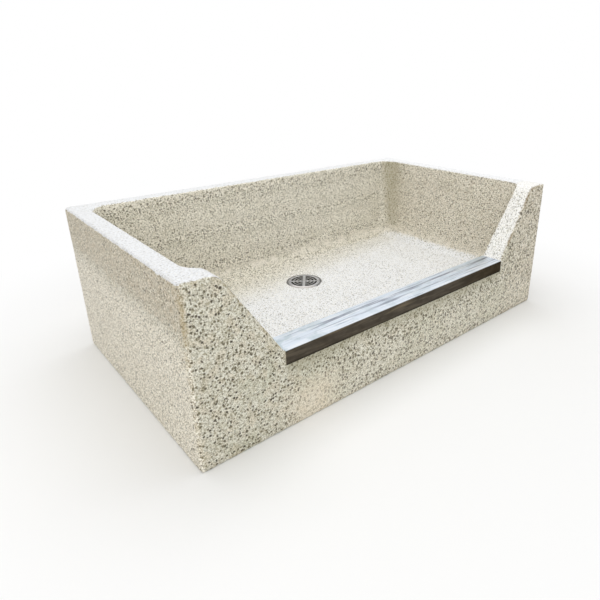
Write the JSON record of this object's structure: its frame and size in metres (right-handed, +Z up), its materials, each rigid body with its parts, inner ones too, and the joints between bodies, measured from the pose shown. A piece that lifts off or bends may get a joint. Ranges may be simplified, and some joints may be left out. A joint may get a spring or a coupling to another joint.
{
  "type": "mop sink",
  "caption": "Low rectangular precast terrazzo mop basin with a dropped front under a stainless cap, and a floor falling to a screwed-down strainer over the waste outlet.",
  "frame": {"origin": "middle of the underside, on the floor", "axes": "+X to the right seen from the dropped front, +Y from the front to the back wall, +Z up"},
  "size_m": [0.914, 0.522, 0.305],
  "materials": {
    "terrazzo": "ground and sealed precast terrazzo, cream matrix with dark olive-grey chips",
    "stainless": "brushed along its length",
    "galvanised": "galvanised",
    "cast_brass": "as cast, its rim turned and nickel plated",
    "neoprene": "moulded",
    "strainer_steel": "satin"
  },
  "bodies": {
    "sink": {"basin": "terrazzo", "threshold_cap": "stainless", "cap_anchors": "galvanised", "floor_mesh": "galvanised", "back_mesh": "galvanised", "left_mesh": "galvanised", "right_mesh": "galvanised", "front_mesh": "galvanised", "drain_body": "cast_brass", "pipe_gasket": "neoprene"},
    "grate": {"strainer": "strainer_steel", "strainer_screws": "strainer_steel"}
  },
  "joints": [
    {"name": "grate_lift", "type": "slide", "parent": "sink", "child": "grate", "axis": [0, 0, 1], "range_m": [0, 0.27]}
  ]
}
